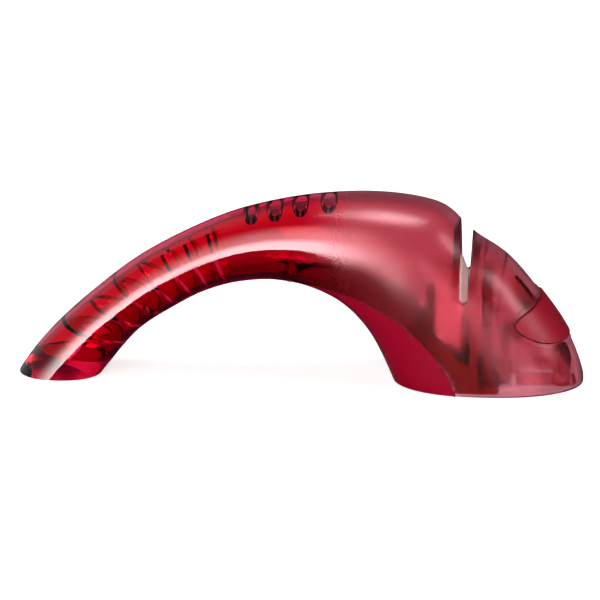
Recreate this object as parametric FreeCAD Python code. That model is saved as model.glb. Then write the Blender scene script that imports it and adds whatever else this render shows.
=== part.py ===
# Hand-held knife sharpener: a long arched handle that flows into a bulbous head.
# The handle, head and nose are one clear red moulding. A pair of bevelled
# ceramic wheels turns under a slot across the head. They ride in a solid red
# carrier, made of a rear foot and a wheel cradle, which swings down for
# cleaning. A release button closes the nose.
#
# Millimetres. X runs along the handle from tail to nose, Y across, Z up. The
# origin is on the table, halfway along the length.
import FreeCAD, Part
import math
import os

V = FreeCAD.Vector
os.makedirs("parts", exist_ok=True)

# Driving dimensions
LENGTH = 215.0
HEAD = 24.8  # half width of the head
GRIP = 14.2  # half width of the handle
WALL = 2.3  # clear plastic, all round
SEAM_GAP = 0.15  # between the foot and the housing
CARRIER_GAP = 1.1  # between the cradle and the inside of the head

# The body is swept over stations that fan round a point under the arch. Each
# is: angle from +X in degrees, radius of the underside, radius of the back,
# half width.
FAN_X = -12.0
NOSE_R = LENGTH / 2 - FAN_X
TAIL_R = LENGTH / 2 + FAN_X
STATIONS = [
    (180, 64.0, TAIL_R, GRIP - 0.2),
    (170, 57.2, 85.7, GRIP - 0.2),
    (160, 52.4, 77.5, GRIP - 0.3),
    (150, 47.7, 71.7, GRIP - 0.3),
    (140, 44.2, 68.0, GRIP - 0.2),
    (130, 42.1, 65.4, GRIP - 0.1),
    (120, 40.5, 64.1, GRIP),
    (110, 39.4, 64.2, GRIP + 0.3),
    (100, 38.7, 65.4, GRIP + 0.9),
    (90, 38.6, 67.5, GRIP + 1.8),
    (80, 38.6, 71.0, GRIP + 3.0),
    (70, 39.0, 76.0, HEAD - 6.3),
    (60, 39.6, 82.7, HEAD - 4.3),
    (50, 40.4, 90.8, HEAD - 2.8),
    (45, 40.7, 94.3, HEAD - 2.2),
    (40, 41.1, 95.2, HEAD - 1.6),
    (35, 41.4, 96.6, HEAD - 1.2),
    (30, 41.8, 100.6, HEAD - 0.8),
    (20, 42.7, 106.7, HEAD - 0.3),
    (10, 44.2, 113.8, HEAD),
    (0, 46.8, NOSE_R, HEAD),
]
TAIL_PLUG = (174, 60.0, 90.0, GRIP)  # the hollow starts here
FULLNESS = 2.25  # exponent of the oval sections, 2 being an ellipse
RING_POINTS = 28

# Parting curve between the housing and the foot, in X and Z, from the tip of
# the tongue down to the table
SEAM = [
    (-9.0, 38.0),
    (-3.5, 38.9),
    (3.5, 39.2),
    (12.5, 37.9),
    (24.0, 34.6),
    (35.0, 29.2),
    (41.0, 25.0),
    (46.7, 20.0),
    (52.6, 13.4),
    (56.0, 8.0),
    (58.9, 1.2),
    (61.5, -8.0),
]

# Slot across the head
SLOT_REAR = (59.8, 60.25)  # wall at the mouth and at the floor
SLOT_FRONT = (66.3, 63.45)
SLOT_MID = (SLOT_REAR[1] + SLOT_FRONT[1]) / 2
SLOT_FLOOR = 36.0
SLOT_MOUTH = 85.0
LINER = 2.4  # thickness of the plates that line it
LINER_FIT = 0.1

# Wheels, which turn about one axle along X
AXLE_Z = 28.3
AXLE_R = 2.5
WHEEL_R = 19.2
WHEELS_X = 63.3  # middle of the groove between the wheels
GROOVE_HALF = 2.4
GROOVE_ANGLE = 21.5
WHEEL_GAP = 0.15  # each side of the middle
WHEEL_REAR_X = 50.9
WHEEL_FRONT_X = 68.6
HUB_R = 5.0
RUN_FIT = 0.05
WHEEL_CLEAR = 0.6
LINER_CLEAR = 2.2

# Cradle
REAR_PLATE = (47.2, 50.2)
CHEEK = (64.3, 67.4)
CHEEK_STEP = 33.0  # above this the cheek is thin, to clear the slot's lining
CHEEK_TOP = 38.0
FRONT_PLATE = (69.3, 72.4)
FRONT_PLATE_TOP = 42.0
FRONT_PLATE_HALF = 15.2
FLOOR = (0.4, 3.0)
ARM = (75.2, 79.6)
ARM_HALF = 10.0
ARM_TOP = 19.0
SCREW = (47.5, 13.0)  # X and Y of each screw
SCREW_R = 1.5
SCREW_HEAD_Z = 7.0

# Carrier hinge, at the tip of the foot's tongue
TONGUE_X = -4.0
TONGUE_Z = 39.9
TONGUE_PIN_R = 0.9
KNUCKLE_R = 2.0
KNUCKLE_HALF = 5.0
TONGUE_EAR = (5.3, 8.0)

# Release button
BUTTON_PROUD = 1.0
BUTTON_SKIN = 1.6
BUTTON_GAP = 0.7
BUTTON_X = 86.5
BUTTON_Z = 30.0
BUTTON_PIN_R = 1.0
BUTTON_LUG_HALF = 3.0
BUTTON_EAR = (5.2, 7.6)
LEAF_TIP = (81.4, 27.4)
LEAF_UPPER = [LEAF_TIP, (84.3, 30.0), (88.0, 31.8), (90.8, 33.6), (94.0, 37.6)]
LEAF_LOWER = [LEAF_TIP, (84.2, 24.1), (87.8, 21.9), (91.2, 20.3), (95.8, 19.3), (101, 18.7)]
RIM_PROUD = 0.35  # of the rim round the button's opening
RIM_WIDTH = 1.6

LIP_PROUD = 0.3  # of the lip on the foot, along the seam
LIP_WIDTH = 0.7


def save(shape, name):
    shape.exportStep("parts/" + name + ".step")


def box(x0, x1, y0, y1, z0, z1):
    return Part.makeBox(x1 - x0, y1 - y0, z1 - z0, V(x0, y0, z0))


def mirrored(shape):
    return shape.fuse(shape.mirror(V(0, 0, 0), V(0, 1, 0)))


def rod_x(radius, x0, x1, z=AXLE_Z):
    return Part.makeCylinder(radius, x1 - x0, V(x0, 0, z), V(1, 0, 0))


def rod_y(radius, x, z, y0, y1):
    return Part.makeCylinder(radius, y1 - y0, V(x, y0, z), V(0, 1, 0))


def rod_z(radius, x, y, z0, z1):
    return Part.makeCylinder(radius, z1 - z0, V(x, y, z0))


def ring_x(r_in, r_out, x0, x1):
    return rod_x(r_out, x0, x1).cut(rod_x(r_in, x0 - 1, x1 + 1))


def outline(points, half, y_mid=0.0):
    """A straight-sided outline in XZ, drawn out to half each side of y_mid."""
    pts = [V(x, y_mid - half, z) for x, z in points]
    wire = Part.makePolygon(pts + [pts[0]])
    return Part.Face(wire).extrude(V(0, 2 * half, 0))


def power(value, exponent):
    return math.copysign(abs(value) ** exponent, value)


def section(station, inset):
    """One oval section of the body, taken in by inset all round."""
    angle, r_under, r_back, half = station
    a = math.radians(angle)
    mid = (r_under + r_back) / 2
    rise = (r_back - r_under) / 2 - inset
    points = []
    for i in range(RING_POINTS):
        t = 2 * math.pi * i / RING_POINTS
        r = mid + rise * power(math.cos(t), 2 / FULLNESS)
        y = (half - inset) * power(math.sin(t), 2 / FULLNESS)
        points.append(V(FAN_X + r * math.cos(a), y, r * math.sin(a)))
    curve = Part.BSplineCurve()
    knots = list(range(RING_POINTS + 1))
    curve.interpolate(Points=points, PeriodicFlag=True, Parameters=knots)
    return curve


def body(inset, stations=None):
    """The smooth solid through the stations, taken in by inset all round."""
    stations = stations or STATIONS
    rings = [section(s, inset) for s in stations]
    rows = [ring.getPoles() for ring in rings]
    along = [float(stations[0][0] - s[0]) for s in stations]
    lines = []
    for j in range(len(rows[0])):
        line = Part.BSplineCurve()
        line.interpolate(Points=[r[j] for r in rows], Parameters=along)
        lines.append(line)
    skin = Part.BSplineSurface()
    skin.buildFromPolesMultsKnots(
        [list(p) for p in zip(*[line.getPoles() for line in lines])],
        lines[0].getMultiplicities(),
        rings[0].getMultiplicities(),
        lines[0].getKnots(),
        rings[0].getKnots(),
        False,
        True,
        3,
        3,
    )
    faces = [skin.toShape()]
    for ring in (rings[0], rings[-1]):
        faces.append(Part.Face(Part.Wire([ring.toShape()])))
    shell = Part.Compound(faces)
    shell.sewShape(1e-4)
    solid = Part.Solid(shell.Shells[0])
    if solid.Volume < 0:
        solid.reverse()
    return solid


def hollow(inset):
    """The inside of the housing, open at the base of the head."""
    past_base = (-3,) + STATIONS[-1][1:]
    return body(inset, [TAIL_PLUG] + STATIONS[1:] + [past_base])


def moved_line(points, lift):
    """A smooth line in XZ through points, moved lift to its upper side."""
    curve = Part.BSplineCurve()
    curve.interpolate([V(x, -60, z) for x, z in points])
    start = curve.FirstParameter
    run = curve.LastParameter - start
    moved = []
    for i in range(25):
        u = start + run * i / 24
        tangent = curve.tangent(u)[0]
        moved.append(curve.value(u) + V(-tangent.z, 0, tangent.x) * lift)
    line = Part.BSplineCurve()
    line.interpolate(moved)
    return line


def across(edges):
    """A closed loop of edges in XZ, drawn out across the full width."""
    return Part.Face(Part.Wire(edges)).extrude(V(0, 120, 0))


def under_seam(lift, from_x):
    """Everything under the parting curve moved lift outward, ahead of from_x."""
    line = moved_line(SEAM, lift)
    first = line.StartPoint
    last = line.EndPoint
    corners = [last, V(last.x, -60, -30), V(first.x, -60, -30), first]
    solid = across([line.toShape()] + Part.makePolygon(corners).Edges)
    return solid.common(box(from_x, 80, -60, 60, -30, 60))


def leaf(grow):
    """The button's leaf outline through the full width, grown all round."""
    upper = moved_line(LEAF_UPPER, grow)
    lower = moved_line(LEAF_LOWER, -grow)
    high = upper.EndPoint
    low = lower.EndPoint
    corners = [high, V(125, -60, high.z), V(125, -60, low.z), low]
    edges = [upper.toShape()] + Part.makePolygon(corners).Edges + [lower.toShape()]
    if grow:
        edges.append(Part.makeLine(lower.StartPoint, upper.StartPoint))
    return across(edges)


outer = body(0)
inside = hollow(WALL)
carrier_room = hollow(WALL + CARRIER_GAP)
foot_zone = under_seam(0, TONGUE_X)
wheel_room = rod_x(WHEEL_R + WHEEL_CLEAR, REAR_PLATE[1], FRONT_PLATE[0])

# Rear foot: the solid red wedge behind the head, with its tongue under the
# arch. It is a shell closed on top along the seam, and open below. The end of
# the tongue slopes under its pin, so that it clears the housing as it swings.
foot = outer.common(foot_zone)
lip = body(-LIP_PROUD).common(foot_zone).cut(under_seam(-LIP_WIDTH, TONGUE_X - 1))
foot = foot.fuse(lip.common(box(8.0, 80, -40, 40, 0, 60)))
foot = foot.cut(hollow(WALL).common(under_seam(-2.2, 10.0)))
slope = [(-9, 39.9), (TONGUE_X, 39.9), (TONGUE_X + 2.3, 36.0), (-9, 36.0)]
foot = foot.cut(outline(slope, 40))
posts = mirrored(rod_z(4.0, SCREW[0], SCREW[1], 2.0, 30.0))
foot = foot.fuse(posts.common(outer).common(foot_zone))
foot = foot.fuse(rod_y(KNUCKLE_R, TONGUE_X, TONGUE_Z, -KNUCKLE_HALF, KNUCKLE_HALF))
foot = foot.cut(rod_y(TONGUE_PIN_R + RUN_FIT, TONGUE_X, TONGUE_Z, -30, 30))
foot = foot.cut(mirrored(rod_z(SCREW_R + 0.2, SCREW[0], SCREW[1], -1, 40)))
foot = foot.cut(mirrored(rod_z(3.0, SCREW[0], SCREW[1], -1, SCREW_HEAD_Z)))
foot = foot.cut(wheel_room)
save(foot, "rear_foot")

tongue_pin = rod_y(TONGUE_PIN_R, TONGUE_X, TONGUE_Z, -TONGUE_EAR[1], TONGUE_EAR[1])
save(tongue_pin, "carrier_hinge_pin")

# Wheel cradle: a well round the wheels with a plate at each end of the axle, a
# floor, and the latch arm in front
well = outline([(42.5, 23.0), (51.8, 21.0), (64.3, 10.2), (64.3, 0.4), (50, 0.4)], 40)
well = well.fuse(box(CHEEK[0], CHEEK[1], -40, 40, FLOOR[0], CHEEK_STEP))
well = well.fuse(box(CHEEK[1] - 0.9, CHEEK[1], -40, 40, FLOOR[0], CHEEK_TOP))
well = well.fuse(box(CHEEK[0], ARM[0], -40, 40, FLOOR[0], FLOOR[1]))
front_plate = box(
    FRONT_PLATE[0],
    FRONT_PLATE[1],
    -FRONT_PLATE_HALF,
    FRONT_PLATE_HALF,
    FLOOR[0],
    FRONT_PLATE_TOP,
)
rear_plate = box(REAR_PLATE[0], REAR_PLATE[1], -8, 8, 10, AXLE_Z)
rear_plate = rear_plate.fuse(rod_x(8.0, REAR_PLATE[0], REAR_PLATE[1]))
arm = box(ARM[0], ARM[1], -ARM_HALF, ARM_HALF, FLOOR[0], ARM_TOP)
arm = arm.cut(box(ARM[0] - 1, ARM[1] - 1.6, -8.4, 8.4, FLOOR[1], ARM_TOP + 1))
tooth = outline([(79.5, 4.0), (80.9, 4.0), (79.5, 7.5)], 8.0)
cradle = well.fuse(front_plate).fuse(rear_plate).fuse(arm).fuse(tooth)
cradle = cradle.common(carrier_room).cut(under_seam(0.05, -20))
cradle = cradle.cut(wheel_room)
cradle = cradle.cut(rod_x(AXLE_R, 40, 80))
cradle = cradle.cut(mirrored(rod_z(SCREW_R, SCREW[0], SCREW[1], 0, 21.0)))
save(cradle, "wheel_cradle")

for side, sign in (("left", 1), ("right", -1)):
    y = SCREW[1] * sign
    screw = rod_z(2.8, SCREW[0], y, SCREW_HEAD_Z - 2.0, SCREW_HEAD_Z)
    screw = screw.fuse(rod_z(SCREW_R, SCREW[0], y, SCREW_HEAD_Z, 20.5))
    cross = box(-0.4, 0.4, -1.8, 1.8, 0, 1.2).fuse(box(-1.8, 1.8, -0.4, 0.4, 0, 1.2))
    cross.translate(V(SCREW[0], y, SCREW_HEAD_Z - 2.0))
    save(screw.cut(cross), "cradle_screw_" + side)

# Axle, with a groove and a clip outside each plate
CLIPS = {"rear": (46.1, 46.9), "front": (72.7, 73.5)}
axle = rod_x(AXLE_R, 45.1, 74.5)
for x0, x1 in CLIPS.values():
    axle = axle.cut(ring_x(1.9, 4.0, x0, x1))
save(axle, "wheel_axle")
for end, (x0, x1) in CLIPS.items():
    clip = ring_x(1.9, 4.0, x0, x1).cut(box(x0 - 1, x1 + 1, -1.3, 1.3, AXLE_Z, 40))
    save(clip, "axle_clip_" + end)

# Wheels and hubs. Each rim is rounded at the back, and falls to the groove at
# a bevel.
bevel = math.tan(math.radians(GROOVE_ANGLE))


def wheel(back_x, sign, crown):
    face_x = WHEELS_X - sign * WHEEL_GAP
    edge_x = WHEELS_X - sign * GROOVE_HALF
    edge_r = WHEEL_R - 0.3
    root_r = edge_r - (GROOVE_HALF - WHEEL_GAP) / bevel
    profile = [
        (back_x, HUB_R),
        (back_x, WHEEL_R - crown),
        (back_x + sign * crown * 0.3, WHEEL_R - crown * 0.4),
        (back_x + sign * crown * 0.7, WHEEL_R - crown * 0.1),
        (back_x + sign * crown, WHEEL_R),
        (edge_x - sign * 0.6, WHEEL_R),
        (edge_x, edge_r),
        (face_x, root_r),
        (face_x, HUB_R),
    ]
    pts = [V(x, 0, AXLE_Z + r) for x, r in profile]
    face = Part.Face(Part.makePolygon(pts + [pts[0]]))
    return face.revolve(V(0, 0, AXLE_Z), V(1, 0, 0), 360)


save(wheel(WHEEL_REAR_X, 1, 2.4), "ceramic_wheel_rear")
save(wheel(WHEEL_FRONT_X, -1, 1.8), "ceramic_wheel_front")
save(ring_x(AXLE_R + RUN_FIT, HUB_R, WHEEL_REAR_X, WHEELS_X - 0.3), "wheel_hub_rear")
save(ring_x(AXLE_R + RUN_FIT, HUB_R, WHEELS_X + 0.3, WHEEL_FRONT_X), "wheel_hub_front")
save(ring_x(AXLE_R, HUB_R - 0.5, WHEELS_X - 0.22, WHEELS_X + 0.22), "wheel_spacer")
save(ring_x(AXLE_R, 7.0, REAR_PLATE[1], WHEEL_REAR_X - 0.1), "thrust_washer_rear")
save(ring_x(AXLE_R, 7.0, WHEEL_FRONT_X + 0.1, FRONT_PLATE[0]), "thrust_washer_front")

# Release button: a leaf-shaped skin wrapped round the nose, with a lug to its
# pin and a blade that reaches the latch arm
button = body(-BUTTON_PROUD).cut(body(BUTTON_SKIN)).common(leaf(0))
lug = [(84.6, 31.4), (86.0, 32.0), (90.5, 31.8), (96.5, 25.8), (95.0, 22.8), (88.6, 26.8)]
blade = [(85.4, 21.0), (82.4, 15.0), (80.3, 16.0), (80.3, 20.5), (84.2, 28.6)]
button = button.fuse(outline(lug + blade, BUTTON_LUG_HALF).common(body(0.5)))
button = button.cut(rod_y(BUTTON_PIN_R + RUN_FIT, BUTTON_X, BUTTON_Z, -4, 4))
save(button, "release_button")

pin = rod_y(BUTTON_PIN_R, BUTTON_X, BUTTON_Z, -BUTTON_EAR[1], BUTTON_EAR[1])
save(pin, "button_pin")

# Torsion spring round the button's pin: one leg on the housing, one behind the
# button
coil = rod_y(2.0, BUTTON_X, BUTTON_Z, 3.4, 4.9)
coil = coil.cut(rod_y(1.3, BUTTON_X, BUTTON_Z, 3, 6))
leg_up = Part.makeCylinder(0.35, 7.0, V(84.85, 4.5, 30.2), V(-0.2, 0, 1))
leg_down = Part.makeCylinder(0.35, 6.5, V(88.1, 3.8, 29.5), V(0.55, 0, -0.8))
save(coil.fuse(leg_up).fuse(leg_down), "button_spring")

# Slot across the head, and the two clear plates that line it, set into the
# housing and left open where the wheels stand
slot = outline(
    [
        (SLOT_REAR[0], SLOT_MOUTH),
        (SLOT_REAR[1], SLOT_FLOOR + 1.6),
        (SLOT_FRONT[1], SLOT_FLOOR + 1.6),
        (SLOT_FRONT[0], SLOT_MOUTH),
    ],
    40,
)
slot = slot.fuse(rod_y(1.6, SLOT_MID, SLOT_FLOOR + 1.6, -40, 40))
liner = outline(
    [
        (SLOT_REAR[0] - LINER - 1.2, SLOT_MOUTH),
        (SLOT_REAR[1] - LINER, SLOT_FLOOR - 1.2),
        (SLOT_REAR[1] - LINER + 1.2, SLOT_FLOOR - 2.4),
        (SLOT_FRONT[1] + LINER - 1.2, SLOT_FLOOR - 2.4),
        (SLOT_FRONT[1] + LINER, SLOT_FLOOR - 1.2),
        (SLOT_FRONT[0] + LINER + 1.0, SLOT_MOUTH),
    ],
    40,
)
wheel_gap = rod_x(WHEEL_R + LINER_CLEAR, REAR_PLATE[1], FRONT_PLATE[0])
lining = liner.common(hollow(WALL + LINER_FIT)).cut(slot).cut(wheel_gap)
save(lining.common(box(40, SLOT_MID, -40, 40, SLOT_FLOOR, 90)), "slot_plate_rear")
save(lining.common(box(SLOT_MID, 80, -40, 40, SLOT_FLOOR, 90)), "slot_plate_front")

# Housing: handle, head and nose in one clear shell
housing = outer.cut(inside)

# guide ribs down the inside of each wall, beside the front plate
ribs = outline([(68.0, 20), (69.0, 20), (69.9, 56), (68.9, 56)], 40)
ribs = ribs.fuse(outline([(72.6, 20), (73.6, 20), (77.4, 50), (76.4, 50)], 40))
ribs = ribs.common(inside).cut(body(WALL + 1.2))
housing = housing.fuse(ribs)

# pairs of ears for the two pins
ear = outline(
    [(-10, 38.0), (-10, 41.5), (-6, 42.3), (-2, 42.0), (-1.4, 38.9), (-4.3, 38.9)],
    (TONGUE_EAR[1] - TONGUE_EAR[0]) / 2,
    (TONGUE_EAR[1] + TONGUE_EAR[0]) / 2,
)
housing = housing.fuse(mirrored(ear).common(outer))
ear = outline(
    [(79, 33), (80, 42), (86, 39), (88.2, 34.4), (88.6, 29.5), (86.5, 27.4), (84, 28.6)],
    (BUTTON_EAR[1] - BUTTON_EAR[0]) / 2,
    (BUTTON_EAR[1] + BUTTON_EAR[0]) / 2,
)
housing = housing.fuse(mirrored(ear).common(outer))

# catch wall in front of the latch arm, on two gussets from the nose, and two
# posts in the nose
catch = box(81.4, 83.2, -10, 10, 0.6, 9.0)
catch = catch.fuse(mirrored(box(83.0, 110, 8.4, 10, 0.6, 5.0)))
housing = housing.fuse(catch.common(body(1.0)))
post = rod_z(3.2, 98.3, 8.0, 0.6, 13.5).fuse(Part.makeSphere(3.2, V(98.3, 8.0, 13.5)))
housing = housing.fuse(mirrored(post).common(outer))

# stiffening frames across the handle, and half-round bars under its back
for angle in (166, 157, 148, 139, 130, 121, 112):
    window = 68 if angle > 150 else 60
    frame = box(30, 95, -20, 20, -0.7, 0.7)
    frame = frame.cut(Part.makeCylinder(6.5, 4, V(window, 0, -2)))
    frame.rotate(V(0, 0, 0), V(0, 1, 0), -angle)
    frame.translate(V(FAN_X, 0, 0))
    housing = housing.fuse(frame.common(inside))
for angle, r in ((96, 64.5), (88, 66.0), (80, 69.0), (72, 73.0)):
    a = math.radians(angle)
    bar = rod_y(3.2, FAN_X + r * math.cos(a), r * math.sin(a), -20, 20)
    housing = housing.fuse(bar.common(inside).cut(body(WALL + 2.2)))

housing = housing.cut(slot)
housing = housing.cut(under_seam(SEAM_GAP, TONGUE_X - SEAM_GAP))
knuckle_room = KNUCKLE_HALF + 0.3
housing = housing.cut(
    rod_y(KNUCKLE_R + 0.3, TONGUE_X, TONGUE_Z, -knuckle_room, knuckle_room)
)
housing = housing.cut(rod_y(TONGUE_PIN_R, TONGUE_X, TONGUE_Z, -9, 9))
housing = housing.cut(rod_y(BUTTON_PIN_R, BUTTON_X, BUTTON_Z, -9, 9))
rim = body(-RIM_PROUD).cut(body(1.0)).common(leaf(BUTTON_GAP + RIM_WIDTH))
housing = housing.fuse(rim)
housing = housing.cut(leaf(BUTTON_GAP))

# fine step round the foot of the head
step = outer.cut(body(0.35)).common(box(40, 120, -40, 40, -1, 1.8))
housing = housing.cut(step)
save(housing, "handle_housing")
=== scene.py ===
"""Looks of the knife sharpener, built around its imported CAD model. Metres, Z up."""

import bpy
import math
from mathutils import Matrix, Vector

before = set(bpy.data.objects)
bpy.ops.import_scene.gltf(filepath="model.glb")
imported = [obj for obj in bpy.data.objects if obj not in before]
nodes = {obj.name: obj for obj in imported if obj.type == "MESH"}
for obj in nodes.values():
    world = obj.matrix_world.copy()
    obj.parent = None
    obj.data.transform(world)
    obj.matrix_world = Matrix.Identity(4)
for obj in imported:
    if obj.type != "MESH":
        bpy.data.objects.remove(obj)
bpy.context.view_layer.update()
scene = bpy.context.scene
scene.view_settings.view_transform = "Standard"

MM = 0.001

# Where the polish of the handle gives way to the frosting of the head
POLISH_END = -6 * MM
FROST_START = 22 * MM

# The body bends round a point under the arch; its hollow runs at this radius
FAN = (-12 * MM, 0, 0)
HOLLOW_R = 54 * MM

BLACK = (0, 0, 0, 1)
WHITE = (1, 1, 1, 1)
WARM_WHITE = (1, 0.98, 0.96, 1)
SKY_GREY = (0.93, 0.93, 0.93, 1)


# ---------------------------------------------------------------- materials


def smooth_range(tree, source, low, high, to_low, to_high):
    """A node output: source taken from low..high to to_low..to_high, smoothly."""
    made = tree.nodes.new("ShaderNodeMapRange")
    made.interpolation_type = "SMOOTHSTEP"
    made.inputs["From Min"].default_value = low
    made.inputs["From Max"].default_value = high
    made.inputs["To Min"].default_value = to_low
    made.inputs["To Max"].default_value = to_high
    tree.links.new(source, made.inputs["Value"])
    return made.outputs["Result"]


class Paint:
    """A node material, built up one node at a time."""

    def __init__(self, name):
        self.mat = bpy.data.materials.new(name)
        self.mat.use_nodes = True
        self.tree = self.mat.node_tree
        self.shader = self.tree.nodes["Principled BSDF"]
        self.output = self.tree.nodes["Material Output"]
        self.place = self.node("ShaderNodeTexCoord").outputs["Object"]

    def node(self, kind, **inputs):
        made = self.tree.nodes.new(kind)
        for key, value in inputs.items():
            made.inputs[key.replace("_", " ")].default_value = value
        return made

    def link(self, source, target):
        self.tree.links.new(source, target)

    def set(self, **inputs):
        """Set constants on the shader's own sockets."""
        for key, value in inputs.items():
            self.shader.inputs[key.replace("_", " ")].default_value = value

    def to(self, socket, source):
        """Link source to a socket of the shader."""
        self.link(source, self.shader.inputs[socket])

    def noise(self, scale, detail=2.0, stretch=None):
        """Grey noise with the given number of features per metre."""
        source = self.place
        if stretch:
            mapping = self.node("ShaderNodeMapping")
            mapping.inputs["Scale"].default_value = stretch
            self.link(source, mapping.inputs["Vector"])
            source = mapping.outputs["Vector"]
        made = self.node("ShaderNodeTexNoise", Scale=scale, Detail=detail)
        self.link(source, made.inputs["Vector"])
        return made.outputs["Fac"]

    def spread(self, source, low, high, to_low=0.0, to_high=1.0):
        """source taken from low..high to to_low..to_high, smoothly."""
        return smooth_range(self.tree, source, low, high, to_low, to_high)

    def axis(self, name):
        """One coordinate of the object, in metres."""
        made = self.node("ShaderNodeSeparateXYZ")
        self.link(self.place, made.inputs["Vector"])
        return made.outputs[name]

    def math(self, operation, a, b):
        """The result of a sum on two numbers or node outputs."""
        made = self.node("ShaderNodeMath")
        made.operation = operation
        for i, value in enumerate((a, b)):
            if isinstance(value, (int, float)):
                made.inputs[i].default_value = value
            else:
                self.link(value, made.inputs[i])
        return made.outputs["Value"]

    def vector(self, operation, a, b=None):
        """The node of a sum on one or two vectors, which can be tuples or node outputs."""
        made = self.node("ShaderNodeVectorMath")
        made.operation = operation
        for i, value in enumerate((a, b)):
            if isinstance(value, tuple):
                made.inputs[i].default_value = value
            elif value:
                self.link(value, made.inputs[i])
        return made

    def colours(self, fac, first, second):
        """first where fac is 0, second where it is 1."""
        made = self.node("ShaderNodeMix")
        made.data_type = "RGBA"
        for socket, value in (("A", first), ("B", second)):
            target = [s for s in made.inputs if s.name == socket and s.type == "RGBA"][0]
            if isinstance(value, tuple):
                target.default_value = (*value, 1)
            else:
                self.link(value, target)
        self.link(fac, made.inputs["Factor"])
        return [s for s in made.outputs if s.type == "RGBA"][0]

    def outer_skin(self):
        """1 on the outside of the hollow body and 0 on its inside."""
        arm = self.vector("SUBTRACT", self.place, FAN).outputs["Vector"]
        flat = self.vector("MULTIPLY", arm, (1, 0, 1)).outputs["Vector"]
        along = self.vector("NORMALIZE", flat).outputs["Vector"]
        middle = self.vector("MULTIPLY", along, (HOLLOW_R, HOLLOW_R, HOLLOW_R)).outputs["Vector"]
        out = self.vector("SUBTRACT", arm, middle).outputs["Vector"]
        skin = self.node("ShaderNodeNewGeometry").outputs
        facing = self.vector("DOT_PRODUCT", out, skin["True Normal"]).outputs["Value"]
        turned = self.spread(skin["Backfacing"], 0.0, 1.0, 1.0, -1.0)
        return self.math("GREATER_THAN", self.math("MULTIPLY", facing, turned), 0.0)

    def bump(self, height, distance, strength=1.0):
        """Small relief of the surface; distance is its depth in metres."""
        made = self.node("ShaderNodeBump", Strength=strength, Distance=distance)
        self.link(height, made.inputs["Height"])
        self.link(made.outputs["Normal"], self.shader.inputs["Normal"])


def clear_red():
    """Clear red moulding: polished on the handle, frosted outside on the head."""
    p = Paint("clear_red_plastic")
    p.set(Transmission_Weight=1.0, IOR=1.49)
    frost = p.spread(p.axis("X"), POLISH_END, FROST_START)
    flow = p.noise(55, 3)
    tint = p.colours(frost, (0.86, 0.03, 0.14), (0.91, 0.32, 0.39))
    deep = p.colours(frost, (0.74, 0.02, 0.10), (0.80, 0.24, 0.31))
    p.to("Base Color", p.colours(flow, tint, deep))
    rough = p.spread(p.noise(2600, 1), 0.35, 0.7, 0.20, 0.28)
    speck = p.math("ADD", p.math("MULTIPLY", rough, p.outer_skin()), 0.08)
    polish = p.spread(p.noise(120, 2), 0.3, 0.8, 0.015, 0.05)
    blend = p.math("MULTIPLY", frost, p.math("SUBTRACT", speck, polish))
    p.to("Roughness", p.math("ADD", polish, blend))
    grain = p.math("MULTIPLY", p.noise(2200, 2), p.math("MULTIPLY", frost, 0.6))
    wave = p.math("MULTIPLY", p.noise(70, 1), 4.0)
    p.bump(p.math("ADD", grain, wave), 0.00003, 0.6)
    volume = p.node("ShaderNodeVolumeAbsorption", Density=60.0)
    volume.inputs["Color"].default_value = (0.75, 0.03, 0.25, 1)
    p.link(volume.outputs["Volume"], p.output.inputs["Volume"])
    return p.mat


def solid_red(name, light, dark, rough):
    """Opaque red moulding with a smooth satin surface."""
    p = Paint(name)
    p.set(IOR=1.49)
    p.to("Base Color", p.colours(p.noise(60, 2), light, dark))
    p.to("Roughness", p.spread(p.noise(60, 2), 0.3, 0.7, rough - 0.03, rough + 0.03))
    p.bump(p.noise(90, 1), 0.00002, 0.3)
    return p.mat


def ceramic():
    """White sintered ceramic with a fine open grain."""
    p = Paint("white_ceramic")
    p.set(IOR=1.6, Subsurface_Weight=0.15, Subsurface_Scale=0.001)
    p.to("Base Color", p.colours(p.noise(1400, 4), (0.93, 0.90, 0.86), (0.82, 0.78, 0.73)))
    p.to("Roughness", p.spread(p.noise(2400, 2), 0.3, 0.7, 0.42, 0.6))
    p.bump(p.noise(4000, 3), 0.00003, 0.5)
    return p.mat


def pale_plastic():
    """Off-white moulding of the hubs, the spacer and the washers."""
    p = Paint("pale_plastic")
    p.set(IOR=1.45)
    p.to("Base Color", p.colours(p.noise(220, 3), (0.78, 0.76, 0.72), (0.68, 0.66, 0.61)))
    p.to("Roughness", p.spread(p.noise(1200, 2), 0.3, 0.7, 0.3, 0.42))
    p.bump(p.noise(1800, 2), 0.00002, 0.3)
    return p.mat


def steel(name, stretch):
    """Bright steel with fine turning or drawing lines."""
    p = Paint(name)
    p.set(Metallic=1.0)
    lines = p.noise(900, 3, stretch=stretch)
    p.to("Base Color", p.colours(lines, (0.72, 0.72, 0.73), (0.55, 0.55, 0.57)))
    p.to("Roughness", p.spread(lines, 0.3, 0.7, 0.18, 0.32))
    p.bump(lines, 0.00002, 0.4)
    return p.mat


FOOT_LIGHT = (0.24, 0.0, 0.015)
FOOT_DARK = (0.22, 0.0, 0.013)
BUTTON_LIGHT = (0.28, 0.002, 0.015)
BUTTON_DARK = (0.26, 0.002, 0.014)

finishes = {
    "clear_red_plastic": clear_red(),
    "solid_red_plastic": solid_red("solid_red_plastic", FOOT_LIGHT, FOOT_DARK, rough=0.2),
    "button_red_plastic": solid_red("button_red_plastic", BUTTON_LIGHT, BUTTON_DARK, rough=0.42),
    "white_ceramic": ceramic(),
    "pale_plastic": pale_plastic(),
    "axle_steel": steel("axle_steel", (6, 1, 1)),
    "clip_steel": steel("clip_steel", (1, 4, 4)),
}
for obj in nodes.values():
    for slot in obj.material_slots:
        base = slot.material.name.split(".")[0]
        slot.material = finishes[base]


# ---------------------------------------------------------------- camera

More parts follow.
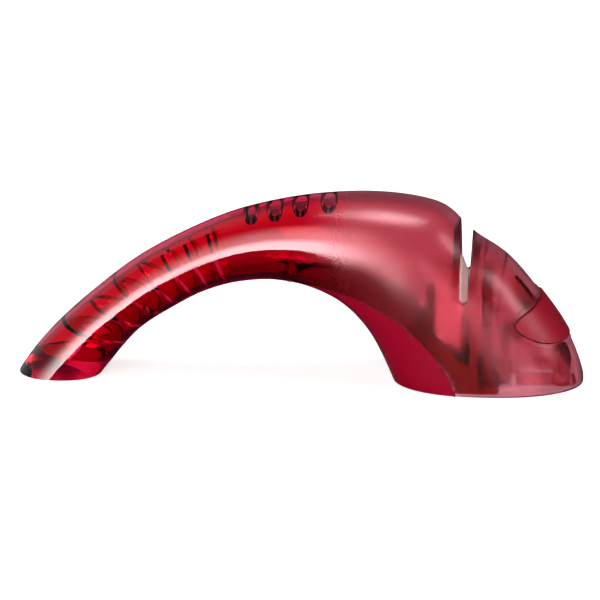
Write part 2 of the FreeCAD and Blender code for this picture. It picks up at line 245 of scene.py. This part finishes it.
# Angles in degrees; azimuth 0 is the front
CAM_AZIMUTH = 3.3
CAM_ELEVATION = 18.0
CAM_DISTANCE = 2.0
VIEW_WIDTH = 0.2283
AIM_RIGHT = -0.57 * MM
AIM_UP = 27.9 * MM
SENSOR_WIDTH = 36
NEAREST_SEEN = 10 * MM


def direction(azimuth, elevation):
    """Unit vector to a place seen from the object; azimuth 0 is the front."""
    a = math.radians(azimuth)
    e = math.radians(elevation)
    return Vector((math.sin(a) * math.cos(e), -math.cos(a) * math.cos(e), math.sin(e)))


def add_camera():
    """The camera, at the viewing angle of the photograph."""
    turn = math.radians(CAM_AZIMUTH)
    back = direction(CAM_AZIMUTH, CAM_ELEVATION)
    right = Vector((math.cos(turn), math.sin(turn), 0))
    up = back.cross(right)
    data = bpy.data.cameras.new("camera")
    data.sensor_width = SENSOR_WIDTH
    data.lens = SENSOR_WIDTH * CAM_DISTANCE / VIEW_WIDTH
    data.clip_start = NEAREST_SEEN
    camera = bpy.data.objects.new("camera", data)
    scene.collection.objects.link(camera)
    camera.location = right * AIM_RIGHT + up * AIM_UP + back * CAM_DISTANCE
    camera.rotation_euler = back.to_track_quat("Z", "Y").to_euler()
    scene.camera = camera


add_camera()


# ---------------------------------------------------------------- studio

LAMP_AIM = Vector((0, 0, 40 * MM))


def softbox(name, azimuth, elevation, distance, width, height, power):
    """A rectangular lamp that shines at the middle of the object."""
    data = bpy.data.lights.new(name, "AREA")
    data.shape = "RECTANGLE"
    data.size = width
    data.size_y = height
    data.energy = power
    obj = bpy.data.objects.new(name, data)
    scene.collection.objects.link(obj)
    away = direction(azimuth, elevation)
    obj.location = away * distance + LAMP_AIM
    obj.rotation_euler = away.to_track_quat("Z", "Y").to_euler()
    obj.visible_camera = False


softbox("top_light", azimuth=60, elevation=84, distance=0.9, width=0.4, height=0.36, power=4.5)
softbox("right_light", azimuth=75, elevation=25, distance=0.9, width=0.25, height=0.5, power=2)


def add_mesh(name, points, faces):
    """A plain mesh object of the studio."""
    mesh = bpy.data.meshes.new(name)
    mesh.from_pydata(points, [], faces)
    obj = bpy.data.objects.new(name, mesh)
    scene.collection.objects.link(obj)
    return obj


def lit_paint(name):
    """Paint that gives light and reflects none."""
    p = Paint(name)
    p.set(Base_Color=BLACK, Emission_Color=WARM_WHITE, Specular_IOR_Level=0)
    return p


# The curved card's radius and heights are in metres and its two ends in degrees
CARD_RADIUS = 1.0
CARD_LOW = -0.16
CARD_HIGH = 1.5
CARD_LEFT = -112
CARD_RIGHT = -8
CARD_STEPS = 24
CARD_BRIGHT = 11.0


def curved_card():
    """Lights the object from the front and the left.

    The card is brightest along its lower edge. It fades upwards and towards both ends.
    """
    points = []
    faces = []
    for i in range(CARD_STEPS + 1):
        turn = math.radians(CARD_LEFT + (CARD_RIGHT - CARD_LEFT) * i / CARD_STEPS)
        for z in (CARD_LOW, CARD_HIGH):
            points.append((math.sin(turn) * CARD_RADIUS, -math.cos(turn) * CARD_RADIUS, z))
    for i in range(CARD_STEPS):
        a = 2 * i
        faces.append((a, a + 1, a + 3, a + 2))
    card = add_mesh("front_card", points, faces)
    p = lit_paint("card_light")
    height = p.axis("Z")
    sharp = p.spread(height, 0.0, 0.34, 1.0, 0.0)
    soft = p.spread(height, 0.2, CARD_HIGH, 0.42, 0.0)
    left = p.spread(p.axis("X"), -0.98, -0.25, 0.05, 1.15)
    right_end = p.spread(p.axis("X"), -0.3, -0.12, 1.0, 0.3)
    glow = p.math("MULTIPLY", p.math("ADD", sharp, soft), p.math("MULTIPLY", left, right_end))
    p.to("Emission Strength", p.math("MULTIPLY", glow, CARD_BRIGHT))
    card.data.materials.append(p.mat)
    card.visible_camera = False


curved_card()

GLOW_LEFT = 0.16
GLOW_RIGHT = 1.0
GLOW_FRONT = -0.9
GLOW_HIGH = 0.3
GLOW_BRIGHT = 8.0


def glow_card():
    """A low panel in front that lights the inside of the head without a reflection."""
    corners = [
        (GLOW_LEFT, GLOW_FRONT, -GLOW_HIGH),
        (GLOW_RIGHT, GLOW_FRONT, -GLOW_HIGH),
        (GLOW_RIGHT, GLOW_FRONT, GLOW_HIGH),
        (GLOW_LEFT, GLOW_FRONT, GLOW_HIGH),
    ]
    card = add_mesh("glow_card", corners, [(0, 1, 2, 3)])
    p = lit_paint("glow_light")
    p.to("Emission Strength", p.spread(p.axis("Z"), 0.0, GLOW_HIGH, GLOW_BRIGHT, GLOW_BRIGHT / 2))
    # Without light sampling the card is hidden from frosted reflections too
    p.mat.cycles.emission_sampling = "NONE"
    card.data.materials.append(p.mat)
    card.visible_camera = False
    card.visible_glossy = False


glow_card()

THROUGH_GAIN = 2.4  # how much brighter the studio is to what is seen through the plastic


def paint_world():
    """Pale to the camera; dim, and dark below, to what the object reflects."""
    world = bpy.data.worlds.new("world")
    scene.world = world
    world.use_nodes = True
    tree = world.node_tree
    sky = tree.nodes["Background"]
    sky.inputs["Color"].default_value = SKY_GREY
    place = tree.nodes.new("ShaderNodeTexCoord").outputs["Generated"]
    split = tree.nodes.new("ShaderNodeSeparateXYZ")
    tree.links.new(place, split.inputs["Vector"])
    x, y, z = (split.outputs[name] for name in "XYZ")

    def ramp(source, low, high, to_low, to_high):
        return smooth_range(tree, source, low, high, to_low, to_high)

    def join(operation, a, b):
        made = tree.nodes.new("ShaderNodeMath")
        made.operation = operation
        tree.links.new(a, made.inputs[0])
        tree.links.new(b, made.inputs[1])
        return made.outputs["Value"]

    # Dark underneath, and brighter behind the object than in front
    rise = ramp(z, -0.6, -0.1, 0.05, 1.0)
    rear = ramp(y, -0.2, 0.6, 0.08, 0.5)
    # Reflections are lit from the left
    side = ramp(x, -0.55, -0.15, 1.0, 0.05)
    # Through the plastic the studio is dimmer above and on the left
    above = ramp(z, 0.05, 0.4, 1.0, 0.15)
    left = ramp(x, -0.7, -0.2, 0.4, 1.0)
    path = tree.nodes.new("ShaderNodeLightPath").outputs
    crossed = path["Is Transmission Ray"]
    bare = ramp(crossed, 0.0, 1.0, 1.0, 0.0)
    gain = ramp(crossed, 0.0, 1.0, 0.0, THROUGH_GAIN)
    through = join("MULTIPLY", join("MULTIPLY", above, left), gain)
    seen = join("ADD", through, join("MULTIPLY", side, bare))
    dim = join("MULTIPLY", join("MULTIPLY", rise, rear), seen)
    strength = join("MAXIMUM", dim, path["Is Camera Ray"])
    tree.links.new(strength, sky.inputs["Strength"])


paint_world()

FLOOR_REACH = 3.0
FLOOR_DROP = 0.2 * MM
FLOOR_LIFT = 0.7  # light that the floor gives to the camera only, to keep it pale


def add_floor():
    """A plain pale floor, just under the object."""
    r = FLOOR_REACH
    floor = add_mesh("floor", [(-r, -r, 0), (r, -r, 0), (r, r, 0), (-r, r, 0)], [(0, 1, 2, 3)])
    floor.location.z = -FLOOR_DROP
    p = Paint("paper")
    p.set(Roughness=0.8, Emission_Color=WHITE)
    p.to("Base Color", p.colours(p.noise(20, 2), (0.88, 0.88, 0.88), (0.86, 0.86, 0.86)))
    camera_ray = p.node("ShaderNodeLightPath").outputs["Is Camera Ray"]
    p.to("Emission Strength", p.spread(camera_ray, 0, 1, 0.0, FLOOR_LIFT))
    floor.data.materials.append(p.mat)
    floor.visible_glossy = False
    floor.visible_transmission = False


add_floor()
